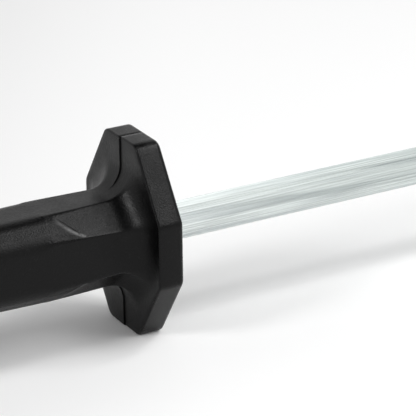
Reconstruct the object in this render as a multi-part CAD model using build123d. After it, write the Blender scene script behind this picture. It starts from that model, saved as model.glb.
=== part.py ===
from build123d import *
import math
import os

# Butcher's sharpening steel: a ribbed steel rod whose tang is moulded into a plastic handle with an
# octagonal hand guard, and a welded wire ring that hangs in an eye at the end of the handle.
#
# Frame: the origin is on the rod's axis at the guard's front face. +X runs along the rod to its tip,
# +Z is up and the handle lies on the -X side. All sizes are in millimetres.

# --- driving dimensions -----------------------------------------------------------------------------

# Rod
rod_radius = 6.0  # over the ribs
rod_length = 250.0  # from the guard's front face to the tip
rib_count = 48
groove_width = 0.17
groove_depth = 0.12
groove_start = 0.8  # plain land between the guard and the first of the grooves
tip_taper_length = 14.0
tip_radius = 3.6  # where the taper ends and the dome begins
tip_dome_height = 1.8

# Tang, the part of the rod inside the handle
shank_radius = 5.5  # a bevelled shoulder in the guard's front face leads down to it
shank_depth = 14.0  # inside the guard, before the step down to the tang
tang_radius = 4.2
tang_length = 66.0
notch_count = 3  # rings that the plastic grips
notch_depth = 1.0
notch_length = 5.0
notch_pitch = 14.0
tang_point_length = 3.0
moulding_gap = 0.02  # shrinkage between tang and plastic

# Hand guard
guard_half_width = 24.0
guard_half_height = 31.7
guard_cut_width = 14.5  # corner cut, measured along Y
guard_cut_height = 21.8  # and along Z
guard_thickness = 8.6
guard_corner_round = 4.0  # seen from the front
guard_front_bevel = 1.0
guard_back_bevel = 0.5
mould_step = 0.4  # the far half of the mould stands this much further back

# Neck, the crisp octagon between guard and grip
neck_half_width = 13.6
neck_half_height = 14.1
flare_radius = 8.5  # hollow where the neck spreads into the guard
scoop_angle = 42.7  # the four diagonal flats: how far they lean from the vertical
scoop_distance = 14.55  # rod's axis to the flat, half way along it
scoop_slope = 2.1  # degrees by which the flat deepens towards the guard
scoop_middle = 25.0  # distance behind the guard's front face where scoop_distance holds
runout_distance = 31.0  # where the middle of the scoop's end wall stands
runout_skew = 38.0  # degrees that the end wall is turned from square
runout_lean = 65.0  # degrees that it leans back

# Grip, the soft octagon that the hand holds
grip_start = 37.0
grip_diagonal = 15.4
grip_edge_round = 7.0
waist_distance = 60.0
waist = -0.25
swell_distance = 84.0
swell = 0.6
heel_distance = 100.0
heel = 0.1
pommel_distance = 111.0
pommel_flare = 1.3
grip_end = 120.0
grip_steps = 4  # cross-sections along each stretch from one of these to the next
pommel_edge_round = 3.5

# Eye and hanging ring
eye_distance = 10.0  # hole's axis behind the end of the grip
eye_radius = 8.5
eye_half_thickness = 4.5
eye_hole_radius = 3.3
eye_hole_bevel = 0.8
eye_edge_bevel = 1.0
ring_wire_radius = 1.5
ring_radius = 12.0  # to the middle of the wire
ring_wire_sides = 16
ring_clearance = 0.3  # between the hanging wire and the mouth of its hole

# Cutting and trimming shapes are wider than anything across the handle.
reach = 2 * (guard_half_width + guard_half_height)


# --- rod ---------------------------------------------------------------------------------------------


def groove_pattern():
    """The V-grooves as flat triangles round the rod, standing a little proud of its surface."""
    overshoot = 0.05
    mouth = groove_width / 2 * (groove_depth + overshoot) / groove_depth
    triangle = Polygon(
        (rod_radius - groove_depth, 0),
        (rod_radius + overshoot, mouth),
        (rod_radius + overshoot, -mouth),
        align=None,
    )
    return Sketch() + PolarLocations(0, rib_count) * triangle


def tang_profile(gap=0.0):
    """Half outline of shoulder, shank and tang, grown by gap, with x along the axis and y outwards."""
    shoulder = rod_radius + gap
    shank = shank_radius + gap
    core = tang_radius + gap
    step = -shank_depth - gap
    end = -tang_length - gap
    points = [(0, 0), (0, shoulder), (shank - shoulder, shank), (step, shank), (step, core)]
    for index in range(notch_count):
        front = -shank_depth - notch_pitch * (index + 0.5) - gap
        back = front - notch_length + 2 * gap
        floor = core - notch_depth
        points += [(front, core), (front, floor), (back, floor), (back, core)]
    points += [(end + tang_point_length, core), (end, core - tang_point_length / 2), (end, 0)]
    return make_face(Polyline(points, close=True))


def working_profile():
    """Half outline of the working length, with its taper and domed tip."""
    taper_start = rod_length - tip_taper_length
    dome_start = rod_length - tip_dome_height
    outline = [
        Line((0, 0), (0, rod_radius)),
        Line((0, rod_radius), (taper_start, rod_radius)),
        Line((taper_start, rod_radius), (dome_start, tip_radius)),
        RadiusArc(
            (dome_start, tip_radius),
            (rod_length, 0),
            (tip_radius**2 + tip_dome_height**2) / (2 * tip_dome_height),
        ),
        Line((rod_length, 0), (0, 0)),
    ]
    return make_face(outline)


def make_rod():
    blank = revolve(working_profile(), Axis.X) + revolve(tang_profile(), Axis.X)
    grooves = extrude(Plane.YZ.offset(groove_start) * groove_pattern(), rod_length)
    return blank - grooves


# --- handle ------------------------------------------------------------------------------------------


def facing(lean):
    """A plane through the rod's axis whose x runs along +X and whose y leans back from +Z towards +Y."""
    outwards = Vector(0, math.sin(math.radians(lean)), math.cos(math.radians(lean)))
    return Plane(origin=(0, 0, 0), x_dir=(1, 0, 0), z_dir=Vector(1, 0, 0).cross(outwards))


def flared_slab(lean, distance, thickness, slope=0.0):
    """Everything under one facet of the neck, its hollow flare and the back of the guard."""
    rise = math.tan(math.radians(slope))
    back = distance + rise * (grip_start - scoop_middle)
    front = distance - rise * (scoop_middle - thickness)
    outline = Polygon(
        (-grip_start, -reach),
        (-grip_start, back),
        (-thickness, front),
        (-thickness, reach),
        (0, reach),
        (0, -reach),
        align=None,
    )
    corner = outline.vertices().sort_by_distance((-thickness, front, 0))[0]
    return extrude(facing(lean) * fillet(corner, flare_radius), reach, both=True)


def guard_octagon(inset=0.0):
    """The guard's outline, or one that lies inside it by inset."""
    upright = inset * math.tan(math.atan2(guard_cut_width, guard_cut_height) / 2)
    level = inset * math.tan(math.atan2(guard_cut_height, guard_cut_width) / 2)
    width, height = guard_half_width - inset, guard_half_height - inset
    ledge = guard_half_width - guard_cut_width - level
    flank = guard_half_height - guard_cut_height - upright
    corners = [(width, flank), (ledge, height), (-ledge, height), (-width, flank)]
    corners += [(-width, -flank), (-ledge, -height), (ledge, -height), (width, -flank)]
    octagon = make_face(Polyline(corners, close=True))
    return fillet(octagon.vertices(), guard_corner_round - inset)


def guard_plate(thickness):
    """The guard's plate, with the edges of its front and back faces bevelled."""
    plate = extrude(Plane.YZ * guard_octagon(), -thickness)
    plate = chamfer(plate.faces().sort_by(Axis.X)[-1].edges(), guard_front_bevel)
    return chamfer(plate.faces().sort_by(Axis.X)[0].edges(), guard_back_bevel)


def scoop_side():
    """The quarter of space on the guard's side of a scoop's end wall."""
    flat = facing(scoop_angle)
    outwards = flat.y_dir
    across = Vector(1, 0, 0).cross(outwards) * -1
    skew = math.radians(runout_skew)
    lean = math.radians(runout_lean)
    along = Vector(1, 0, 0) * math.cos(skew) - across * math.sin(skew)
    normal = along * math.cos(lean) + outwards * math.sin(lean)
    foot = Vector(-runout_distance, 0, 0) + outwards * scoop_distance
    wall = Plane(origin=foot, z_dir=normal)
    side = extrude(wall * Rectangle(6 * reach, 6 * reach), 4 * reach)
    return side & Box(4 * reach, reach, reach, align=(Align.CENTER, Align.MIN, Align.MIN))


def neck_quarter(thickness):
    """Neck and flare for y > 0 and z > 0, back to the scoop's end wall."""
    bar = extrude(Plane.YZ * guard_octagon(guard_back_bevel + moulding_gap), -grip_start)
    quarter = bar & flared_slab(0, neck_half_height, thickness)
    quarter = quarter & flared_slab(90, neck_half_width, thickness)
    quarter = quarter & flared_slab(scoop_angle, scoop_distance, thickness, scoop_slope)
    return quarter & scoop_side()


def guard_half(thickness):
    """Guard and neck for y > 0."""
    upper = neck_quarter(thickness)
    plate = guard_plate(thickness) & Pos(0, reach, 0) * Box(reach, 2 * reach, 2 * reach)
    return plate + upper + mirror(upper, Plane.XY)


def grip_section(distance, extra=0.0):
    """The grip's soft octagon, square to the rod's axis, grown by extra on every side."""
    width, height, diagonal = neck_half_width + extra, neck_half_height + extra, grip_diagonal + extra
    sine, cosine = math.sin(math.radians(scoop_angle)), math.cos(math.radians(scoop_angle))
    ledge = (diagonal - height * cosine) / sine
    flank = (diagonal - width * sine) / cosine
    corners = [(width, flank), (ledge, height), (-ledge, height), (-width, flank)]
    corners += [(-width, -flank), (-ledge, -height), (ledge, -height), (width, -flank)]
    octagon = make_face(Polyline(corners, close=True))
    return Plane.YZ.offset(-distance) * fillet(octagon.vertices(), grip_edge_round)


def make_grip():
    """The soft octagon behind the guard: a waist, the palm's swell, a heel and the pommel's flare."""
    stations = [
        (grip_start, 0.0),
        (waist_distance, waist),
        (swell_distance, swell),
        (heel_distance, heel),
        (pommel_distance, pommel_flare),
    ]
    sections = [grip_section(grip_start)]
    for (front, thin), (back, thick) in zip(stations, stations[1:]):
        for step in range(1, grip_steps + 1):
            travel = step / grip_steps
            growth = (1 - math.cos(math.pi * travel)) / 2
            extra = thin + (thick - thin) * growth
            sections.append(grip_section(front + (back - front) * travel, extra))
    root = extrude(grip_section(grip_start), grip_start)
    pommel = extrude(grip_section(pommel_distance, pommel_flare), -(grip_end - pommel_distance))
    pommel = fillet(pommel.faces().sort_by(Axis.X)[0].edges(), pommel_edge_round)
    return root + loft(sections, ruled=True) + pommel


def make_eye():
    """The flat lug behind the pommel, its edges bevelled and its root let into the pommel."""
    root = -grip_end + pommel_edge_round
    hole_x = -grip_end - eye_distance
    tab = Pos(hole_x, 0) * Circle(eye_radius)
    tab += Pos(hole_x, 0) * Rectangle(root - hole_x, 2 * eye_radius, align=(Align.MIN, Align.CENTER))
    lug = extrude(Plane.XZ * tab, eye_half_thickness, both=True)
    sides = lug.faces().filter_by(Axis.Y)
    return chamfer([edge for side in sides for edge in side.edges()], eye_edge_bevel)


def eye_hole():
    """The cross hole, with bevelled mouths for the ring's wire."""
    wall_end = eye_half_thickness - eye_hole_bevel
    outline = [
        (0, 0),
        (eye_hole_radius, 0),
        (eye_hole_radius, wall_end),
        (eye_hole_radius + 2 * eye_hole_bevel, wall_end + 2 * eye_hole_bevel),
        (0, wall_end + 2 * eye_hole_bevel),
    ]
    half = revolve(make_face(Polyline(outline, close=True)), Axis.Y)
    return Pos(-grip_end - eye_distance, 0, 0) * (half + mirror(half, Plane.XZ))


def make_handle():
    guard_side = scoop_side()
    guard_side += mirror(guard_side, Plane.XY)
    guard_side += mirror(guard_side, Plane.XZ)
    far_half = guard_half(guard_thickness + mould_step)
    near_half = mirror(guard_half(guard_thickness), Plane.XZ)
    handle = (make_grip() - guard_side) + far_half + near_half
    handle = handle + make_eye() - eye_hole()
    return handle - revolve(tang_profile(moulding_gap), Axis.X)


# --- hanging ring ------------------------------------------------------------------------------------


def make_ring():
    """The ring at rest: it hangs from the mouths of the hole, square to the handle."""
    wall_end = eye_half_thickness - eye_hole_bevel
    drop = math.sqrt(ring_radius**2 - wall_end**2)
    centre_z = -drop - eye_hole_radius + ring_wire_radius + ring_clearance
    wire = Pos(ring_radius, 0) * RegularPolygon(ring_wire_radius, ring_wire_sides)
    hoop = revolve(Plane.XY * wire, Axis.Y)
    return Pos(-grip_end - eye_distance, 0, centre_z) * Rot(0, 0, 90) * hoop


os.makedirs("parts", exist_ok=True)
export_step(make_rod(), "parts/steel_rod.step")
export_step(make_handle(), "parts/handle.step")
export_step(make_ring(), "parts/hanging_ring.step")
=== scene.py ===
# %% [markdown]
# # A butcher's sharpening steel
#
# A sharpening steel is a hardened steel rod, lined from end to end with fine ribs, whose tang is moulded
# into a black plastic handle. An eight-sided guard between the two keeps the knife off the hand, and it
# also stops the steel from rolling off the block. A wire ring behind the handle hangs it on a hook.
#
# The solid model comes first and fixes every size. What is left to do here is how it looks: the soft
# edges of the moulding, the skin of the plastic, the ground and worn steel, and the light on all of it.
# Everything is in metres and in the solid model's own frame: the rod lies along +X, +Z is up, and the
# origin is on the rod's axis at the guard's front face.

# %% Load the solid model
import math
import random

import bpy
from mathutils import Matrix, Vector


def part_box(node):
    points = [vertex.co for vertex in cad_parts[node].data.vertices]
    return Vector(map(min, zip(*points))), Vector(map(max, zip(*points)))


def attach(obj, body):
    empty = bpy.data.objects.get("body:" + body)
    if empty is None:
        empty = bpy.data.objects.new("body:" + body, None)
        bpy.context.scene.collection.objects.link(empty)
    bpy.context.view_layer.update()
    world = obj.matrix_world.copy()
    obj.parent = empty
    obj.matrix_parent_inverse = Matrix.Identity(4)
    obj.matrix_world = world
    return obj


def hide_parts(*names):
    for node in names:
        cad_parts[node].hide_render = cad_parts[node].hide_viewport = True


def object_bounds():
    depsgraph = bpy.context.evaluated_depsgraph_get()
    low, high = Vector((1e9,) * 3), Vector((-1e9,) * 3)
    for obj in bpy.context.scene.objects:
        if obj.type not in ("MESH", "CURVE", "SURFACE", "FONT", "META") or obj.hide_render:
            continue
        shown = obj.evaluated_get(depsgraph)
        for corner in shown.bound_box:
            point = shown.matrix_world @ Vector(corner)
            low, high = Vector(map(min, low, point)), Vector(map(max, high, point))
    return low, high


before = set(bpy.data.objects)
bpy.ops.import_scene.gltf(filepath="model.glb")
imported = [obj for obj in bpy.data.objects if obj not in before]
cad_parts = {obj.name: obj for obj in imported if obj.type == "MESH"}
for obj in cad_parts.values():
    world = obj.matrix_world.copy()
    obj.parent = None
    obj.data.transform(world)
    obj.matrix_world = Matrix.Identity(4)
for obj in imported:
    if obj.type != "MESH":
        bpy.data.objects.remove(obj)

cad_low, cad_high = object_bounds()
MM = 0.001
print("solid model", [round(v / MM, 1) for v in cad_low], "to", [round(v / MM, 1) for v in cad_high])

# %% [markdown]
# The sizes below are read from the solid model or repeat its drawing. The guard's foot is the lowest
# point of the whole steel, so it says where the floor is.

# %% Sizes that the looks need
rod_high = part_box("steel_rod")[1]
ring_low, ring_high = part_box("hanging_ring")
floor_height = cad_low.z
rod_radius, rod_tip = rod_high.z, rod_high.x
print("rod", round(2 * rod_radius / MM, 2), "mm thick, with its tip at", round(rod_tip / MM, 2), "mm")
print("floor", round(-floor_height / MM, 2), "mm below the rod's axis")

# %% [markdown]
# The camera is a long lens held a little above the steel, behind the guard and to the steel's right, so
# that the handle runs past it towards the tip. A long lens flattens perspective, so the near handle and
# the far rod keep their true proportions. It is easier to place by where it looks, from which side and
# from how far, than by coordinates, so that is how it is written.

# %% Camera
camera_aim = Vector((21.73, 0.0, 1.7)) * MM
camera_azimuth = math.radians(-29.28)
camera_elevation = math.radians(22.6)
camera_roll = math.radians(-0.61)
camera_distance = 746.2 * MM

away = Vector(
    (
        math.sin(camera_azimuth) * math.cos(camera_elevation),
        -math.cos(camera_azimuth) * math.cos(camera_elevation),
        math.sin(camera_elevation),
    )
)
level = Vector((0, 0, 1)).cross(away).normalized()
upright = away.cross(level)
turn = Matrix((level, upright, away)).transposed() @ Matrix.Rotation(camera_roll, 3, "Z")

camera_data = bpy.data.cameras.new("camera")
camera_data.sensor_width = 36.0
camera_data.lens = 205.6
camera_data.clip_start = 0.05
camera_data.clip_end = 50.0
camera = bpy.data.objects.new("camera", camera_data)
camera.matrix_world = Matrix.Translation(camera_aim + away * camera_distance) @ turn.to_4x4()
bpy.context.scene.collection.objects.link(camera)
bpy.context.scene.camera = camera
bpy.context.scene.view_settings.view_transform = "Standard"
print("camera at", [round(v / MM) for v in camera.location], "mm, lens", camera_data.lens)

# %% [markdown]
# Every material is built in the same few moves: a node is added, a socket is given a number or another
# node's output, two values are combined, one range is mapped onto another, two colours are blended.

# %% Small helpers for materials
def add_node(tree, kind, **settings):
    """One node, with its own properties set by name."""
    node = tree.nodes.new(kind)
    for name, value in settings.items():
        setattr(node, name, value)
    return node


def plug(tree, socket, value):
    """Links another node's output to a socket, or sets the socket to a constant."""
    if isinstance(value, bpy.types.NodeSocket):
        tree.links.new(value, socket)
    else:
        socket.default_value = value


def combine(tree, operation, first, second):
    """Two values made into one by a mathematical operation."""
    node = add_node(tree, "ShaderNodeMath", operation=operation)
    plug(tree, node.inputs[0], first)
    plug(tree, node.inputs[1], second)
    return node.outputs[0]


def value_range(tree, value, low, high, out_low=0.0, out_high=1.0):
    """Maps one range of values smoothly onto another and holds it at both ends."""
    node = add_node(tree, "ShaderNodeMapRange", interpolation_type="SMOOTHSTEP")
    for name, number in zip(("From Min", "From Max", "To Min", "To Max"), (low, high, out_low, out_high)):
        node.inputs[name].default_value = number
    plug(tree, node.inputs["Value"], value)
    return node.outputs["Result"]


def blend(tree, share, first, second, blend_type="MIX"):
    """The first colour turning into the second, or being multiplied by it, as the share goes to 1."""
    node = add_node(tree, "ShaderNodeMix", data_type="RGBA", blend_type=blend_type)
    plug(tree, node.inputs["Factor"], share)
    plug(tree, node.inputs["A"], first)
    plug(tree, node.inputs["B"], second)
    return node.outputs["Result"]


def bump(tree, height, strength, distance, normal=None):
    """A height turned into a normal, on top of another normal if there is one."""
    node = add_node(tree, "ShaderNodeBump")
    node.inputs["Strength"].default_value = strength
    node.inputs["Distance"].default_value = distance
    plug(tree, node.inputs["Height"], height)
    if normal:
        plug(tree, node.inputs["Normal"], normal)
    return node.outputs[0]


def flat_grey(value):
    return (value, value, value, 1)


def new_material(name):
    """A material with a Principled skin and nothing else, and its tree, that skin and its output."""
    material = bpy.data.materials.new(name)
    material.use_nodes = True
    tree = material.node_tree
    tree.nodes.clear()
    skin = add_node(tree, "ShaderNodeBsdfPrincipled")
    output = add_node(tree, "ShaderNodeOutputMaterial")
    plug(tree, output.inputs["Surface"], skin.outputs[0])
    return material, tree, skin, output


# %% [markdown]
# ## The studio
#
# Black plastic shows little of its own colour. What the eye reads is what it mirrors, so the floor and
# the lamps shape it more than its paint does. Around the steel there is a pale sheet to lie on and a
# pale room with a dark ceiling, whose far wall is the brightest. One large softbox hangs above the near
# side, a small one stands high beyond the tip, and another small one behind the end of the handle.
#
# The sheet has two shades of white. The camera and every mirrored ray see the paler one, so the paper stays
# white around the steel and in its reflections, apart from a soft grey painted towards the far left as
# painted shade. The light that it throws back onto the steel comes from the darker one, which keeps the
# underside of the handle dark without less light on top. Further out, where the lamps fall off, the same
# rays see an even white instead of ever greyer paper.

# %% Floor
sheet_size = 8.0
paper_seen, paper_painted_shade_left, paper_seen_far, paper_felt = 0.97, 0.74, 0.93, 0.60
rightwards, grey_until, white_from = (0.87, -0.49, 0.0), -0.20, 0.02
lamplit_until, even_from = 0.28, 0.80

bpy.ops.object.select_all(action="DESELECT")
bpy.ops.mesh.primitive_plane_add(size=sheet_size, location=(0, 0, floor_height))
floor = bpy.context.object
floor.name = "floor"

paper, tree, skin, output = new_material("floor_paper")
skin.inputs["Roughness"].default_value = 0.9
skin.inputs["Specular IOR Level"].default_value = 0.1
path = add_node(tree, "ShaderNodeLightPath").outputs
mirrored = combine(tree, "MAXIMUM", path["Is Glossy Ray"], path["Is Transmission Ray"])
looked_at = combine(tree, "MAXIMUM", path["Is Camera Ray"], mirrored)

place = add_node(tree, "ShaderNodeTexCoord").outputs["Object"]
sideways = add_node(tree, "ShaderNodeVectorMath", operation="DOT_PRODUCT")
plug(tree, sideways.inputs[0], place)
plug(tree, sideways.inputs[1], rightwards)
whiter = value_range(tree, sideways.outputs["Value"], grey_until, white_from)
# Painted shade: the paper that the camera and mirrored rays see is painted greyer towards the far left.
seen = blend(tree, whiter, flat_grey(paper_painted_shade_left), flat_grey(paper_seen))
plug(tree, skin.inputs["Base Color"], blend(tree, looked_at, flat_grey(paper_felt), seen))

reach = add_node(tree, "ShaderNodeVectorMath", operation="LENGTH")
plug(tree, reach.inputs[0], place)
far_off = value_range(tree, reach.outputs["Value"], lamplit_until, even_from)
glow = add_node(tree, "ShaderNodeEmission")
glow.inputs["Color"].default_value = flat_grey(paper_seen_far)
cover = add_node(tree, "ShaderNodeMixShader")
plug(tree, cover.inputs["Fac"], combine(tree, "MULTIPLY", far_off, looked_at))
plug(tree, cover.inputs[1], skin.outputs[0])
plug(tree, cover.inputs[2], glow.outputs[0])
plug(tree, output.inputs["Surface"], cover.outputs[0])
floor.data.materials.append(paper)
print("floor", sheet_size, "m wide, seen at", paper_seen, "and felt at", paper_felt)

# %% The room
wall_near, wall_far, ceiling = 0.70, 0.92, 0.10
near_until, far_from = -0.8, 0.6
wall_until, ceiling_from = 0.60, 0.85

world = bpy.data.worlds.new("studio")
world.use_nodes = True
bpy.context.scene.world = world
tree = world.node_tree
tree.nodes.clear()
direction = add_node(tree, "ShaderNodeSeparateXYZ")
plug(tree, direction.inputs[0], add_node(tree, "ShaderNodeTexCoord").outputs["Generated"])
farther = value_range(tree, direction.outputs["Y"], near_until, far_from)
higher = value_range(tree, direction.outputs["Z"], wall_until, ceiling_from)
walls = blend(tree, farther, flat_grey(wall_near), flat_grey(wall_far))
background = add_node(tree, "ShaderNodeBackground")
plug(tree, background.inputs["Color"], blend(tree, higher, walls, flat_grey(ceiling)))
plug(tree, add_node(tree, "ShaderNodeOutputWorld").inputs["Surface"], background.outputs[0])
print("room from", wall_near, "to", wall_far, "with its ceiling at", ceiling)


# %% Lamps
def softbox(name, direction, distance, length, breadth, brightness):
    """A softbox that faces the guard, its length across the steel. A brightness of 1 is white cloth."""
    data = bpy.data.lights.new(name, "AREA")
    data.shape = "RECTANGLE"
    data.size = breadth
    data.size_y = length
    data.energy = brightness * math.pi * length * breadth
    facing = Vector(direction).normalized()
    along = (Vector((1, 0, 0)) - facing * facing.x).normalized()
    turn = Matrix((along, facing.cross(along), facing)).transposed()
    lamp = bpy.data.objects.new(name, data)
    lamp.matrix_world = Matrix.Translation(facing * distance) @ turn.to_4x4()
    bpy.context.scene.collection.objects.link(lamp)
    print(name, distance, "m away, brightness", brightness)


above, beyond_tip, behind_handle = (0.44, -0.46, 0.77), (0.62, -0.10, 0.78), (-0.82, -0.07, 0.57)
softbox("overhead_softbox", above, distance=1.3, length=1.10, breadth=0.42, brightness=5.8)
softbox("spot_softbox", beyond_tip, distance=1.4, length=0.24, breadth=0.24, brightness=13.0)
softbox("left_softbox", behind_handle, distance=1.3, length=0.30, breadth=0.26, brightness=21.0)

# %% [markdown]
# ## The moulded handle
#
# The handle is one moulding in black plastic. Behind the guard it has a crisp octagonal neck, four
# slanting flats are scooped out of its diagonals, and further back it turns into a soft octagon that
# fills the hand. Every edge is rounded, the neck sweeps up into the guard through hollow flares, and
# the two halves of the mould met along the middle, with the far one standing a hair further back.
#
# One way is to bevel a copy of the solid model, but its long thin triangles shade badly once they are
# bevelled. A skin of even quads is better. The handle is like a tube whose cross-section changes, so a
# flat grid is rolled up into that tube: one row of the grid for each cross-section, and always the same
# number of columns on each flat and on each rounded corner, so that the columns follow the edges.

# %% The handle's drawing, in millimetres
guard_half_width, guard_half_height = 24.0, 31.7
guard_cut_width, guard_cut_height = 14.5, 21.8
guard_thickness, mould_step = 8.6, 0.4
guard_corner_round, guard_front_round, guard_back_round = 4.0, 1.5, 0.6
neck_half_width, neck_half_height = 13.6, 14.1
flare_radius = 8.5
scoop_lean = math.radians(42.7)
scoop_distance, scoop_middle, scoop_slope = 14.55, 25.0, math.radians(2.1)
runout_distance, runout_skew, runout_lean = 31.0, math.radians(38.0), math.radians(65.0)
grip_diagonal, grip_corner_round = 15.4, 7.0
grip_swells = ((37.0, 0.0), (60.0, -0.25), (84.0, 0.6), (100.0, 0.1), (111.0, 1.3))
grip_end, pommel_round = 120.0, 3.5
neck_corner_round, flare_corner_round = 1.1, 6.0
socket_radius, shoulder_bevel, shank_length = 6.02, 0.5, 14.02
bore_radius, bore_end_radius, bore_length = 4.25, 1.0625, 66.1
parting_gap, parting_groove, parting_depth = 0.01, 0.14, 0.08


# %% [markdown]
# A rounded octagon is three facets to a quarter: top, diagonal and side. Each is given by the angle at
# which it faces, counted from the top, and by its distance from the axis. Where two meet, the corner
# is an arc that touches both.

# %% Rounded octagons
flat_columns = (5, 28, 6)
corner_columns = 6
least_cosine = 0.01


def facets(width, height, diagonal, lean):
    """The top, the diagonal and the side of a quarter, as (angle from the top, distance)."""
    return ((0.0, height), (lean, diagonal), (math.pi / 2, width))


def corner_centre(first, second, roundness):
    """The middle of the arc between two facets, across the first facet and away from the axis."""
    (angle_a, distance_a), (angle_b, distance_b) = first, second
    bend = angle_b - angle_a
    outwards = distance_a - roundness
    sideways = (distance_b - roundness - outwards * math.cos(bend)) / math.sin(bend)
    return outwards, sideways


def quarter_outline(shape, roundness):
    """Points from the middle of the top round to the middle of the side, as (sideways, upwards)."""
    points = [(0.0, shape[0][1])]
    for number, (first, second) in enumerate(zip(shape, shape[1:])):
        outwards, sideways = corner_centre(first, second, roundness)
        sine, cosine = math.sin(first[0]), math.cos(first[0])
        centre = (outwards * sine + sideways * cosine, outwards * cosine - sideways * sine)
        for step in range(corner_columns + 1):
            facing = first[0] + (second[0] - first[0]) * step / corner_columns
            point = (centre[0] + roundness * math.sin(facing), centre[1] + roundness * math.cos(facing))
            if step == 0:
                start = points[-1]
                for part in range(1, flat_columns[number]):
                    share = part / flat_columns[number]
                    points.append(tuple(a + (b - a) * share for a, b in zip(start, point)))
            points.append(point)
    start, end = points[-1], (shape[-1][1], 0.0)
    for part in range(1, flat_columns[-1] + 1):
        share = part / flat_columns[-1]
        points.append(tuple(a + (b - a) * share for a, b in zip(start, end)))
    return points


def outline_radius(direction, shape, roundness):
    """How far the outline lies from the axis in one direction, an angle from the top."""
    radius = min(distance / max(math.cos(direction - angle), least_cosine) for angle, distance in shape)
    for first, second in zip(shape, shape[1:]):
        outwards, sideways = corner_centre(first, second, roundness)
        back_out, back_side = corner_centre((-second[0], second[1]), (-first[0], first[1]), roundness)
        begins = first[0] + math.atan2(sideways, outwards + roundness)
        ends = second[0] - math.atan2(back_side, back_out + roundness)
        if begins < direction < ends:
            reach = math.hypot(outwards, sideways)
            off = direction - first[0] - math.atan2(sideways, outwards)
            radius = reach * math.cos(off) + math.sqrt(roundness**2 - (reach * math.sin(off)) ** 2)
    return radius


neck_facets = facets(neck_half_width, neck_half_height, scoop_distance, scoop_lean)
print(len(quarter_outline(neck_facets, neck_corner_round)), "columns to a quarter")


# %% [markdown]
# The neck and the grip share one stretch, where each of the four scoops ends in a small slanting wall.
# In any direction from the axis the surface is the grip as far as that wall, and the neck beyond it.

# %% Neck, grip and the walls where the scoops end
def grip_growth(behind):
    """How much the grip's outline has grown at a distance behind the guard's face."""
    if behind <= grip_swells[0][0]:
        return grip_swells[0][1]
    for (start, thin), (end, thick) in zip(grip_swells, grip_swells[1:]):
        if behind <= end:
            return thin + (thick - thin) * (1 - math.cos(math.pi * (behind - start) / (end - start))) / 2
    return grip_swells[-1][1]


def neck_shape(behind, flare=0.0):
    """The neck's facets, with the scoops' flats on the diagonals and the flare's growth all round."""
    diagonal = scoop_distance + math.tan(scoop_slope) * (behind - scoop_middle)
    return facets(neck_half_width + flare, neck_half_height + flare, diagonal + flare, scoop_lean)


def grip_shape(behind, inset=0.0):
    """The grip's facets, or ones that lie inside them by inset."""
    grown = grip_growth(behind) - inset
    return facets(neck_half_width + grown, neck_half_height + grown, grip_diagonal + grown, scoop_lean)


def wall_radius(direction, behind):
    """Where a scoop's end wall cuts a direction from the axis."""
    outwards = Vector((0, math.sin(scoop_lean), math.cos(scoop_lean)))
    across = Vector((0, math.cos(scoop_lean), -math.sin(scoop_lean)))
    along = Vector((math.cos(runout_skew), 0, 0)) - across * math.sin(runout_skew)
    facing = along * math.cos(runout_lean) + outwards * math.sin(runout_lean)
    foot = Vector((-runout_distance, 0, 0)) + outwards * scoop_distance
    rise = facing.y * math.sin(direction) + facing.z * math.cos(direction)
    return (foot.dot(facing) + behind * facing.x) / max(rise, least_cosine)


def clamped(value):
    return min(max(value, 0.0), 1.0)


def soft_min(a, b, softness):
    """The smaller of two numbers, with the corner where they cross rounded off."""
    overlap = max(softness - abs(a - b), 0.0)
    return min(a, b) - overlap**2 / (4 * softness)


neck_ends, grip_begins, runout_softness = 24.0, 39.0, 0.5


def body_quarter(behind):
    """The cross-section of the neck, of the grip or of the stretch where one becomes the other."""
    if behind <= neck_ends:
        return quarter_outline(neck_shape(behind), neck_corner_round)
    if behind >= grip_begins:
        return quarter_outline(grip_shape(behind), grip_corner_round)
    blend = (behind - neck_ends) / (grip_begins - neck_ends)
    crisp = quarter_outline(neck_shape(behind), neck_corner_round)
    soft = quarter_outline(grip_shape(behind), grip_corner_round)
    points = []
    for (side_a, up_a), (side_b, up_b) in zip(crisp, soft):
        direction = (1 - blend) * math.atan2(side_a, up_a) + blend * math.atan2(side_b, up_b)
        neck = outline_radius(direction, neck_shape(behind), neck_corner_round)
        grip = outline_radius(direction, grip_shape(behind), grip_corner_round)
        radius = max(neck, soft_min(grip, wall_radius(direction, behind), runout_softness))
        points.append((radius * math.sin(direction), radius * math.cos(direction)))
    return points


# %% [markdown]
# The rows of the grid follow the handle from the middle of the pommel, along the grip and the neck, up
# the flare, over the guard's rim and down its front face into the socket that holds the rod. Each row
# says how far behind the guard's front face it lies. A stretch of rows is given by where it starts,
# where it ends and its number of steps. The mould's far half is thicker, so each half of the handle has
# rows of its own, and between them the step shows as a fine dark crescent.

# %% Cross-sections from the pommel to the socket
grip_rows, scoop_rows, neck_rows = (114.0, 40.0, 30), (38.6, 24.6, 64), (23.0, guard_thickness + 9.6, 3)
pommel_steps, flare_steps, back_round_steps, front_round_steps = 6, 14, 5, 6
pommel_rings, back_face_rings, front_face_rings = (0.85, 0.6, 0.35), (0.3, 0.65), (0.35, 0.7, 1.0)
step_starts, step_ends = 0.5, 0.8


def steps(start, end, count):
    """Evenly spaced numbers from start to end, both included."""
    return [start + (end - start) * number / count for number in range(count + 1)]


def shrunk(points, inwards):
    """An outline drawn in towards the axis by a share of its size."""
    return [(side * (1 - inwards), up * (1 - inwards)) for side, up in points]


def circle_quarter(like, radius):
    """A quarter circle with as many columns as an outline, each in the same direction."""
    bearings = [math.atan2(side, up) for side, up in like]
    return [(radius * math.sin(bearing), radius * math.cos(bearing)) for bearing in bearings]


def mixed(points, others, share):
    """An outline part of the way from one outline to another."""
    return [tuple(a + (b - a) * share for a, b in zip(p, q)) for p, q in zip(points, others)]


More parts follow.
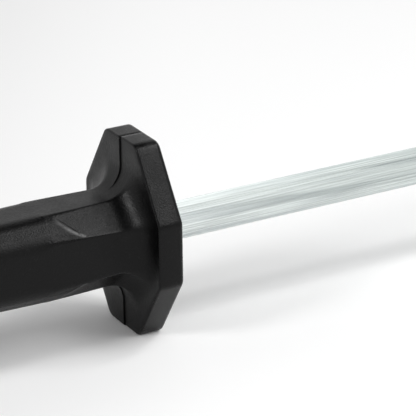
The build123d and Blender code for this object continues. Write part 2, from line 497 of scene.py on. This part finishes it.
def guard_quarter(inset):
    """The guard's rounded octagon, or one that lies inside it by inset."""
    lean = math.atan2(guard_cut_height, guard_cut_width)
    ledge = guard_half_width - guard_cut_width
    diagonal = ledge * math.sin(lean) + guard_half_height * math.cos(lean)
    shape = facets(guard_half_width - inset, guard_half_height - inset, diagonal - inset, lean)
    return quarter_outline(shape, guard_corner_round - inset)


def handle_rows(thickness):
    """One half of the handle: how far behind the face each row lies, its points and its groove's depth."""
    rows = []
    for share in pommel_rings:
        rows.append((grip_end, shrunk(body_quarter(grip_end), share), 0.0))
    for angle in steps(math.pi / 2, 0.0, pommel_steps):
        inset = pommel_round * (1 - math.cos(angle))
        behind = grip_end - pommel_round * (1 - math.sin(angle))
        rows.append((behind, quarter_outline(grip_shape(grip_end, inset), grip_corner_round - inset), 0.0))
    for behind in steps(*grip_rows) + steps(*scoop_rows) + steps(*neck_rows):
        rows.append((behind, body_quarter(behind), 0.0))
    for angle in steps(0.0, math.pi / 2, flare_steps):
        flare = flare_radius * (1 - math.cos(angle))
        step_share = clamped((math.sin(angle) - step_starts) / (step_ends - step_starts))
        lag = (thickness - guard_thickness) * step_share
        behind = guard_thickness + lag + flare_radius * (1 - math.sin(angle))
        softness = neck_corner_round + (flare_corner_round - neck_corner_round) * math.sin(angle) ** 2
        rows.append((behind, quarter_outline(neck_shape(behind, flare), softness), 0.0))
    foot_of_rim, top_of_flare = guard_quarter(guard_back_round), rows[-1][1]
    for share in back_face_rings:
        rows.append((thickness, mixed(top_of_flare, foot_of_rim, share), 0.0))
    for angle in steps(0.0, math.pi / 2, back_round_steps):
        inset = guard_back_round * (1 - math.sin(angle))
        behind = thickness - guard_back_round * (1 - math.cos(angle))
        rows.append((behind, guard_quarter(inset), parting_depth * math.sin(angle)))
    rows.append((guard_thickness / 2, guard_quarter(0.0), parting_depth))
    for angle in steps(math.pi / 2, 0.0, front_round_steps):
        inset = guard_front_round * (1 - math.sin(angle))
        behind = guard_front_round * (1 - math.cos(angle))
        rows.append((behind, guard_quarter(inset), parting_depth * math.sin(angle)))
    foot_of_face = rows[-1][1]
    socket = circle_quarter(foot_of_face, socket_radius)
    for share in front_face_rings:
        rows.append((0.0, mixed(foot_of_face, socket, share), 0.0))
    shank_radius = socket_radius - shoulder_bevel
    for behind, radius in (
        (shoulder_bevel, shank_radius),
        (shank_length, shank_radius),
        (shank_length, bore_radius),
        (bore_length, bore_radius),
        (bore_length, bore_end_radius),
    ):
        rows.append((behind, circle_quarter(foot_of_face, radius), 0.0))
    return rows


def half_row(quarter, depth):
    """A quarter and its mirror image below, a hair off the middle, with the groove of the parting line."""
    lower = [(side, -up) for side, up in reversed(quarter[:-1])]
    points = [(max(side, parting_gap), up) for side, up in quarter + lower]
    top, bottom = points[0], points[-1]
    start = [(top[0], top[1] - depth), (max(parting_groove, top[0]), top[1])]
    end = [(max(parting_groove, bottom[0]), bottom[1]), (bottom[0], bottom[1] + depth)]
    return start + points[1:-1] + end


near_rows = handle_rows(guard_thickness)
far_rows = handle_rows(guard_thickness + mould_step)
column_count = 2 * len(half_row(*near_rows[0][1:]))
print(len(near_rows), "cross-sections of", column_count, "points")

# %% Roll a grid up into the handle
bpy.ops.object.select_all(action="DESELECT")
bpy.ops.mesh.primitive_grid_add(x_subdivisions=column_count, y_subdivisions=len(near_rows) - 1, size=1)
handle = bpy.context.object
handle.name = "moulded_handle"
spots = []
for (near_behind, *near), (far_behind, *far) in zip(near_rows, far_rows):
    ring = [(-near_behind, -side, up) for side, up in half_row(*near)]
    ring += [(-far_behind, side, up) for side, up in reversed(half_row(*far))]
    spots += ring + ring[:1]
for vertex, spot in zip(handle.data.vertices, spots):
    vertex.co = Vector(spot) * MM
handle.data.update()
seam = 0.001 * MM
bpy.ops.object.mode_set(mode="EDIT")
bpy.ops.mesh.select_all(action="SELECT")
bpy.ops.mesh.remove_doubles(threshold=seam)
bpy.ops.mesh.select_all(action="DESELECT")
bpy.ops.mesh.select_mode(type="EDGE")
bpy.ops.mesh.select_non_manifold(extend=False)
bpy.ops.mesh.edge_face_add()
bpy.ops.mesh.select_all(action="SELECT")
bpy.ops.mesh.normals_make_consistent(inside=False)
bpy.ops.object.mode_set(mode="OBJECT")
print("handle", len(handle.data.vertices), "vertices,", len(handle.data.polygons), "faces")

# %% [markdown]
# Behind the pommel stands a flat lug with a cross hole in it, where the ring hangs. A cylinder on its
# side already has the lug's round end. Its front half is pulled forward into the pommel, which gives
# the straight sides and the root in one move, and its two rims are bevelled. The lug then becomes part
# of the moulding with a boolean union, and the hole and its two bevelled mouths are cut from both.

# %% The lug
eye_distance, eye_radius, eye_half_thickness = 10.0, 8.5, 4.5
eye_hole_radius, eye_hole_bevel, eye_edge_bevel = 3.3, 0.8, 1.0
lug_sides, hole_sides, hair = 96, 72, 0.01
eye_middle = Vector((-grip_end - eye_distance, 0, 0)) * MM
across_handle = (math.pi / 2, 0, 0)

bpy.ops.object.select_all(action="DESELECT")
bpy.ops.mesh.primitive_cylinder_add(
    vertices=lug_sides,
    radius=eye_radius * MM,
    depth=2 * eye_half_thickness * MM,
    location=eye_middle,
    rotation=across_handle,
)
lug = bpy.context.object
bpy.ops.object.transform_apply(location=True, rotation=True, scale=True)
bpy.ops.object.mode_set(mode="EDIT")
bpy.ops.mesh.select_mode(type="VERT")
bpy.ops.mesh.select_all(action="DESELECT")
bpy.ops.object.mode_set(mode="OBJECT")
for vertex in lug.data.vertices:
    vertex.select = vertex.co.x > eye_middle.x + hair * MM
bpy.ops.object.mode_set(mode="EDIT")
bpy.ops.transform.translate(value=((eye_distance + pommel_round) * MM, 0, 0))
bpy.ops.mesh.select_all(action="DESELECT")
bpy.ops.mesh.select_mode(type="FACE")
bpy.ops.object.mode_set(mode="OBJECT")
for face in lug.data.polygons:
    face.select = abs(face.normal.y) > 0.9
bpy.ops.object.mode_set(mode="EDIT")
bpy.ops.mesh.region_to_loop()
bpy.ops.mesh.bevel(offset=eye_edge_bevel * MM, segments=4)
bpy.ops.object.mode_set(mode="OBJECT")
print("lug", len(lug.data.vertices), "vertices,", round(lug.dimensions.x / MM, 2), "mm long")


# %% Join the lug, cut the hole
def boolean(piece, other, operation):
    """Adds the other mesh to the piece, or cuts it away, and removes the other."""
    modifier = piece.modifiers.new("join", "BOOLEAN")
    modifier.operation = operation
    modifier.solver = "EXACT"
    modifier.object = other
    bpy.ops.object.select_all(action="DESELECT")
    piece.select_set(True)
    bpy.context.view_layer.objects.active = piece
    bpy.ops.object.modifier_apply(modifier=modifier.name)
    bpy.data.objects.remove(other, do_unlink=True)


boolean(handle, lug, "UNION")
mouth = (eye_half_thickness + eye_hole_bevel) * MM
cone_height = 2 * eye_hole_bevel * MM
for side, first, second in ((0, 0, 0), (-1, 0, 2 * eye_hole_bevel), (1, 2 * eye_hole_bevel, 0)):
    bpy.ops.mesh.primitive_cone_add(
        vertices=hole_sides,
        radius1=(eye_hole_radius + second) * MM,
        radius2=(eye_hole_radius + first) * MM,
        depth=cone_height if side else 3 * eye_half_thickness * MM,
        location=eye_middle + Vector((0, side * (mouth - cone_height / 2), 0)),
        rotation=(-math.pi / 2, 0, 0),
    )
    boolean(handle, bpy.context.object, "DIFFERENCE")
bpy.ops.object.shade_smooth_by_angle(angle=math.radians(40))
print("handle with its eye", len(handle.data.vertices), "vertices,", len(handle.data.polygons), "faces")

# %% [markdown]
# ## The ribbed rod
#
# The rod is drawn lengthways through a ribbed die, so it has the same cross-section from the guard to
# the tip: a circle with 48 fine grooves. That makes it a shape to extrude. A circle of short edges is
# extruded along the axis from one station to the next and scaled to each station's radius, through the
# bevelled shoulder and the stepped tang behind the guard and over the tapered, domed tip in front.
#
# Then every sixth line of points is pulled inwards and its neighbours are drawn closer to it, which
# leaves the grooves. A die wears and so does a steel, so the grooves aren't all equally deep.

# %% Extrude the rod
rib_count, points_per_rib = 48, 6
groove_depth, groove_start, groove_is_full = 0.12, 0.8, 1.3
taper_length, dome_height, tip_radius = 14.0, 1.8, 3.6
shank_radius, shank_end, shoulder = 5.5, -14.0, -0.5
tang_radius, tang_end, tang_point, tang_point_radius = 4.2, -66.0, -63.0, 2.7
notch_radius, notch_length, notch_fronts = 3.2, 5.0, (-49.0, -35.0, -21.0)

rod_mm, tip = rod_radius / MM, rod_tip / MM
taper_start, dome_start = tip - taper_length, tip - dome_height
taper_radius = rod_mm - groove_depth
taper_run = (dome_start - taper_start) * groove_depth / (rod_mm - tip_radius)


def dome(distance):
    """The tip's radius on the dome, which is part of a ball."""
    ball = (tip_radius**2 + dome_height**2) / (2 * dome_height)
    return math.sqrt(ball**2 - (distance - tip + ball) ** 2)


stations = [(tang_end, tang_point_radius), (tang_point, tang_radius)]
for front in notch_fronts:
    back = front - notch_length
    stations += [(back, tang_radius), (back, notch_radius), (front, notch_radius), (front, tang_radius)]
stations += [(shank_end, tang_radius), (shank_end, shank_radius), (shoulder, shank_radius)]
stations += [(start, rod_mm) for start in (0.0, groove_start, groove_is_full)]
stations += [(start, rod_mm) for start in (70.0, 150.0, taper_start)]
stations += [(taper_start + taper_run, taper_radius), (dome_start, tip_radius)]
stations += [(tip - back, dome(tip - back)) for back in (1.5, 1.1, 0.7, 0.4, 0.15)]

bpy.ops.object.select_all(action="DESELECT")
bpy.ops.mesh.primitive_circle_add(
    vertices=rib_count * points_per_rib,
    radius=stations[0][1] * MM,
    fill_type="NGON",
    location=(stations[0][0] * MM, 0, 0),
    rotation=(0, math.pi / 2, 0),
)
rod = bpy.context.object
rod.name = "ribbed_rod"
bpy.ops.object.transform_apply(location=True, rotation=True, scale=True)
bpy.ops.object.mode_set(mode="EDIT")
bpy.ops.mesh.select_mode(type="FACE")
bpy.ops.mesh.select_all(action="SELECT")
for (start, thin), (end, thick) in zip(stations, stations[1:]):
    bpy.ops.mesh.extrude_region_move(TRANSFORM_OT_translate={"value": ((end - start) * MM, 0, 0)})
    bpy.ops.transform.resize(value=(1, thick / thin, thick / thin), center_override=(end * MM, 0, 0))
bpy.ops.mesh.select_all(action="SELECT")
bpy.ops.mesh.normals_make_consistent(inside=False)
bpy.ops.object.mode_set(mode="OBJECT")
print("rod", len(rod.data.vertices), "vertices,", round(rod.dimensions.x / MM, 1), "mm long")

# %% Pull in the grooves
shallowest, deepest = 0.6, 1.1
hair, drawn_closer = 0.1, 0.045
wear = random.Random(7)
depths = [groove_depth * wear.uniform(shallowest, deepest) for rib in range(rib_count)]
for vertex in rod.data.vertices:
    line = round(math.atan2(vertex.co.z, vertex.co.y) / math.tau * rib_count * points_per_rib)
    grooved = (groove_start + hair) * MM < vertex.co.x < (taper_start + hair) * MM
    if grooved and line % points_per_rib == 0:
        depth = depths[line // points_per_rib % rib_count] * MM
        vertex.co.yz = vertex.co.yz * (1 - depth / rod_radius)
    elif grooved and line % points_per_rib in (1, points_per_rib - 1):
        turn_back = drawn_closer * MM / rod_radius * (-1 if line % points_per_rib == 1 else 1)
        vertex.co.yz = Matrix.Rotation(turn_back, 2) @ vertex.co.yz
rod.data.update()
bpy.ops.object.shade_smooth_by_angle(angle=math.radians(30))
print("grooves", round(min(depths), 3), "to", round(max(depths), 3), "mm deep")

# %% [markdown]
# ## The hanging ring
#
# The ring is a length of wire bent round and butt welded, so it is a torus with a slight bead where the
# weld was dressed. It hangs square to the handle from the mouths of the hole, where the solid model
# has it, so its place and its size are read from there.

# %% Ring
wire_radius = (ring_high.x - ring_low.x) / 2
hoop_radius = (ring_high.z - ring_low.z) / 2 - wire_radius
hoop_middle = (ring_low + ring_high) / 2
weld_bead = ((1.3, 0.05), (0.7, 0.06))

bpy.ops.object.select_all(action="DESELECT")
bpy.ops.mesh.primitive_torus_add(
    major_radius=hoop_radius,
    minor_radius=wire_radius,
    major_segments=128,
    minor_segments=24,
    location=hoop_middle,
    rotation=(0, math.pi / 2, 0),
)
hoop = bpy.context.object
hoop.name = "wire_ring"
bpy.ops.object.transform_apply(location=True, rotation=True, scale=True)
for half_width, swell in weld_bead:
    for vertex in hoop.data.vertices:
        vertex.select = abs(vertex.co.y) < half_width * MM and vertex.co.z < hoop_middle.z
    bpy.ops.object.mode_set(mode="EDIT")
    bpy.ops.mesh.select_mode(type="VERT")
    bpy.ops.transform.shrink_fatten(value=swell * MM)
    bpy.ops.object.mode_set(mode="OBJECT")
bpy.ops.object.shade_smooth()
print("ring", round(2 * hoop_radius / MM, 1), "mm across, wire", round(2 * wire_radius / MM, 1), "mm")

# %% [markdown]
# ## Surface effects that several materials share
#
# Two effects come back in more than one material: a soft mottling, which also makes the fine grain, and
# thin lines drawn along the steel. Each is a small node group with named inputs that gives out a plain
# value from 0 to 1, and each material decides for itself what to do with it.


# %% Node groups
def new_group(name, inputs):
    """An empty node group with a vector input, number inputs and one output value."""
    group = bpy.data.node_groups.new(name, "ShaderNodeTree")
    group.interface.new_socket("Vector", in_out="INPUT", socket_type="NodeSocketVector")
    for input_name, value in inputs.items():
        socket = group.interface.new_socket(input_name, in_out="INPUT", socket_type="NodeSocketFloat")
        socket.default_value = value
    group.interface.new_socket("Value", in_out="OUTPUT", socket_type="NodeSocketFloat")
    return group, group.nodes.new("NodeGroupInput").outputs, group.nodes.new("NodeGroupOutput").inputs


def use_group(tree, group, place, **inputs):
    """The value of a node group at a place inside a material, with its inputs set by name."""
    node = add_node(tree, "ShaderNodeGroup", node_tree=group)
    plug(tree, node.inputs["Vector"], place)
    for input_name, value in inputs.items():
        node.inputs[input_name].default_value = value
    return node.outputs[0]


mottle, given, result = new_group("mottle", {"Size": 2.0 * MM, "Detail": 4.0})
noise = add_node(mottle, "ShaderNodeTexNoise")
plug(mottle, noise.inputs["Vector"], given["Vector"])
plug(mottle, noise.inputs["Scale"], combine(mottle, "DIVIDE", 1.0, given["Size"]))
plug(mottle, noise.inputs["Detail"], given["Detail"])
plug(mottle, result["Value"], noise.outputs["Fac"])

lines, given, result = new_group("drawn_lines", {"Width": 0.4 * MM, "Length": 20.0 * MM})
squeeze = add_node(lines, "ShaderNodeCombineXYZ")
for axis, size in (("X", "Length"), ("Y", "Width"), ("Z", "Width")):
    plug(lines, squeeze.inputs[axis], given[size])
scaled = add_node(lines, "ShaderNodeVectorMath", operation="DIVIDE")
plug(lines, scaled.inputs[0], given["Vector"])
plug(lines, scaled.inputs[1], squeeze.outputs[0])
noise = add_node(lines, "ShaderNodeTexNoise")
noise.inputs["Scale"].default_value = 1.0
noise.inputs["Detail"].default_value = 3.0
plug(lines, noise.inputs["Vector"], scaled.outputs[0])
plug(lines, result["Value"], noise.outputs["Fac"])
print("node groups:", [group.name for group in bpy.data.node_groups])

# %% [markdown]
# ## Black plastic
#
# The handle is a hard black plastic from a spark-eroded mould, so it has a fine grain and a satin sheen.
# Its body is nearly black: all that shows is a dull reflection. Use has changed it in patches. The hand
# polishes some places, others stay dull or hold a little dust, and there are hairline scratches.
#
# The grain and the waviness of the moulding go into the bump, the patches into the roughness and the
# dust and scratches into the colour, each at its own size.
#
# Hands rub the edges first, so these are smoother than the flats between them. At the lips at the ends of
# the four scoops the black is painted grey, a painted highlight where the rounded lips catch the light. Two
# numbers on each corner of the mesh tell the material where that is: how sharply the surface bends
# outwards, and how near a lip is.

# %% Where the plastic is rubbed, and where its lips get a painted highlight
shortest_edge = 0.05 * MM
highlight_starts, highlight_is_full = 0.4, 1.0


def rubbed_edges(piece, least, most):
    """Stores on each vertex how sharply the surface bends outwards: 0 at the least bend, 1 at the most."""
    mesh = piece.data
    bends = [[] for vertex in mesh.vertices]
    for edge in mesh.edges:
        for here, there in (edge.vertices, reversed(edge.vertices)):
            step = mesh.vertices[here].co - mesh.vertices[there].co
            length = max(step.length, shortest_edge)
            bends[here].append(2 * step.dot(mesh.vertices[here].normal) / length**2 * MM)
    rubbed = mesh.attributes.new("rubbed", "FLOAT", "POINT")
    for place, numbers in zip(rubbed.data, bends):
        bend = sum(numbers) / max(len(numbers), 1)
        place.value = clamped((bend - least) / (most - least))


def painted_lip_highlights(piece, width):
    """Stores on each vertex how near it is to a scoop's lip, and more so towards the grip's side, for the
    painted highlight there.
    """
    lips = piece.data.attributes.new("lip", "FLOAT", "POINT")
    for place, vertex in zip(lips.data, piece.data.vertices):
        behind, side, up = -vertex.co.x / MM, abs(vertex.co.y) / MM, abs(vertex.co.z) / MM
        place.value = 0.0
        if neck_ends < behind < grip_begins and math.hypot(side, up) > neck_half_width:
            direction = math.atan2(side, up)
            grip = outline_radius(direction, grip_shape(behind), grip_corner_round)
            neck = outline_radius(direction, neck_shape(behind), neck_corner_round)
            if neck < grip:
                off_lip = abs(grip - wall_radius(direction, behind))
                sideways = clamped((direction - highlight_starts) / (highlight_is_full - highlight_starts))
                place.value = max(1 - off_lip / width, 0.0) * sideways


rubbed_edges(handle, least=0.03, most=0.30)
painted_lip_highlights(handle, width=0.6)
for name in ("rubbed", "lip"):
    print(name, sum(place.value > 0.5 for place in handle.data.attributes[name].data), "vertices")

# %% The plastic
# The last of these greys paints a highlight onto the scoops' lips.
deep_black, dust_grey, painted_highlight_grey = (0.0008, 0.0008, 0.0009, 1), flat_grey(0.020), flat_grey(0.12)

plastic, tree, skin, output = new_material("black_plastic")
skin.inputs["Specular IOR Level"].default_value = 0.18
place = add_node(tree, "ShaderNodeTexCoord").outputs["Object"]
rubbed = add_node(tree, "ShaderNodeAttribute", attribute_name="rubbed").outputs["Fac"]
lip = add_node(tree, "ShaderNodeAttribute", attribute_name="lip").outputs["Fac"]
grain = use_group(tree, mottle, place, Size=0.5 * MM, Detail=3.0)
waviness = use_group(tree, mottle, place, Size=6.0 * MM, Detail=2.0)
patches = use_group(tree, mottle, place, Size=11.0 * MM, Detail=5.0)
specks = use_group(tree, mottle, place, Size=0.9 * MM, Detail=6.0)

satin = value_range(tree, patches, 0.35, 0.65, 0.31, 0.38)
speckled = combine(tree, "ADD", satin, value_range(tree, specks, 0.4, 0.7, -0.02, 0.06))
polish = value_range(tree, rubbed, 0.1, 0.9, 0.0, 0.05)
plug(tree, skin.inputs["Roughness"], combine(tree, "SUBTRACT", speckled, polish))

turned = add_node(tree, "ShaderNodeMapping")
turned.inputs["Rotation"].default_value = (0.3, 0.5, 0.4)
plug(tree, turned.inputs["Vector"], place)
scratches = use_group(tree, lines, turned.outputs[0], Width=0.25 * MM, Length=12.0 * MM)
scratched = value_range(tree, scratches, 0.70, 0.76, 0.0, 0.5)
dusty = value_range(tree, specks, 0.58, 0.74, 0.0, 0.30)
marked = blend(tree, combine(tree, "MAXIMUM", scratched, dusty), deep_black, dust_grey)
# Painted highlight: near the scoops' lips the black is painted grey, broken up by the specks.
broken_up = value_range(tree, specks, 0.3, 0.6, 0.45, 1.0)
painted_lip_highlight = combine(tree, "MULTIPLY", value_range(tree, lip, 0.0, 0.8), broken_up)
plug(tree, skin.inputs["Base Color"], blend(tree, painted_lip_highlight, marked, painted_highlight_grey))

wavy = bump(tree, waviness, strength=0.3, distance=0.12 * MM)
grain_left = combine(tree, "MULTIPLY", grain, value_range(tree, rubbed, 0.1, 0.9, 1.0, 0.5))
grained = bump(tree, grain_left, strength=1.0, distance=0.1 * MM, normal=wavy)
plug(tree, skin.inputs["Normal"], grained)
print("plastic nodes", len(tree.nodes))

# %% [markdown]
# ## Steel
#
# The rod is hardened and chromed steel. It was drawn lengthways and every knife is drawn along it too,
# so all its marks run the same way. Such a surface mirrors sharply along the rod and very dully across
# it, which is what the shader's anisotropy is for. On top of that come the lines themselves: bright rubbed
# streaks and dull grey ones, long and thin. Then a painted shade greys the steel on its upper side, and
# more so towards the tip.
#
# Where the rod is seen at a glancing angle its colour is darkened a little, a painted shade for the
# grooves' floors that the ribs hide there.

# %% The steel
dull_steel, bright_steel, stain_grey = (0.72, 0.75, 0.745, 1), (0.94, 0.97, 0.965, 1), (0.80, 0.81, 0.82, 1)
# The two greys below and above are painted shade, which darkens the upper side of the steel.
painted_steel_shade_below, painted_steel_shade_above = (0.97, 0.99, 0.98, 1), (0.66, 0.685, 0.675, 1)
# The first of these greys is painted shade, for where the rod is seen at a glancing angle.
painted_glancing_shade_grey, glancing_tint = (0.45, 0.46, 0.47, 1), (0.60, 0.61, 0.61, 1)

steel, tree, skin, output = new_material("ribbed_steel")
skin.inputs["Metallic"].default_value = 1.0
skin.inputs["Anisotropic"].default_value = 0.95
skin.inputs["Specular Tint"].default_value = glancing_tint
around = add_node(tree, "ShaderNodeTangent", direction_type="RADIAL", axis="X")
plug(tree, skin.inputs["Tangent"], around.outputs[0])
place = add_node(tree, "ShaderNodeTexCoord").outputs["Object"]
streaks = use_group(tree, lines, place, Width=0.5 * MM, Length=30.0 * MM)
hairlines = use_group(tree, lines, place, Width=0.16 * MM, Length=12.0 * MM)
stains = use_group(tree, lines, place, Width=2.2 * MM, Length=60.0 * MM)

streaky = blend(tree, value_range(tree, streaks, 0.30, 0.70), dull_steel, bright_steel)
stained = blend(tree, value_range(tree, stains, 0.48, 0.68), streaky, stain_grey, "MULTIPLY")
# Painted shade: the steel is greyed on its upper side, and more so towards the tip.
axes = add_node(tree, "ShaderNodeSeparateXYZ")
plug(tree, axes.inputs[0], place)
upwards = value_range(tree, axes.outputs["Z"], -4.0 * MM, 2.0 * MM)
outwards = value_range(tree, axes.outputs["X"], -120.0 * MM, 125.0 * MM)
painted_steel_shade = blend(tree, upwards, painted_steel_shade_below, painted_steel_shade_above)
steel_with_painted_shade = blend(tree, outwards, stained, painted_steel_shade, "MULTIPLY")
# Painted shade: the colour is darkened where the rod is seen at a glancing angle.
glance = add_node(tree, "ShaderNodeLayerWeight")
glance.inputs["Blend"].default_value = 0.25
painted_glancing_shade = value_range(tree, glance.outputs["Facing"], 0.55, 0.90)
plug(tree, skin.inputs["Base Color"], blend(tree, painted_glancing_shade, steel_with_painted_shade, painted_glancing_shade_grey, "MULTIPLY"))
plug(tree, skin.inputs["Roughness"], value_range(tree, hairlines, 0.3, 0.7, 0.68, 0.80))
plug(tree, skin.inputs["Normal"], bump(tree, hairlines, strength=0.5, distance=0.02 * MM))
print("steel nodes", len(tree.nodes))

# %% [markdown]
# The ring is plated wire. Its plating is a darker grey than the rod, and it is smooth, so it mirrors the
# room more sharply. It rubs in its hole and against other tools on the hook, which leaves duller
# patches and fine pits.

# %% The ring's plating
dull_plating, bright_plating = (0.36, 0.37, 0.38, 1), (0.60, 0.61, 0.62, 1)

plated, tree, skin, output = new_material("plated_wire")
skin.inputs["Metallic"].default_value = 1.0
place = add_node(tree, "ShaderNodeTexCoord").outputs["Object"]
smudges = use_group(tree, mottle, place, Size=4.0 * MM, Detail=4.0)
pits = use_group(tree, mottle, place, Size=0.5 * MM, Detail=3.0)
tint = blend(tree, value_range(tree, smudges, 0.35, 0.6), dull_plating, bright_plating)
plug(tree, skin.inputs["Base Color"], tint)
plug(tree, skin.inputs["Roughness"], value_range(tree, smudges, 0.35, 0.65, 0.32, 0.16))
plug(tree, skin.inputs["Normal"], bump(tree, pits, strength=0.3, distance=0.03 * MM))
print("plating nodes", len(tree.nodes))

# %% [markdown]
# Each piece takes the place of its solid in every view and moves with that solid's body. The solids
# themselves get the same materials, because they stay in the file.

# %% Hand the pieces over
for piece, node, slot, body, material in (
    (handle, "handle", "handle_plastic", "steel", plastic),
    (rod, "steel_rod", "rod_steel", "steel", steel),
    (hoop, "hanging_ring", "ring_steel", "ring", plated),
):
    piece.data.materials.clear()
    piece.data.materials.append(material)
    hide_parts(node)
    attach(piece, body)
    for material_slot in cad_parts[node].material_slots:
        material_slot.material = material
    print(piece.name, "stands for", node)
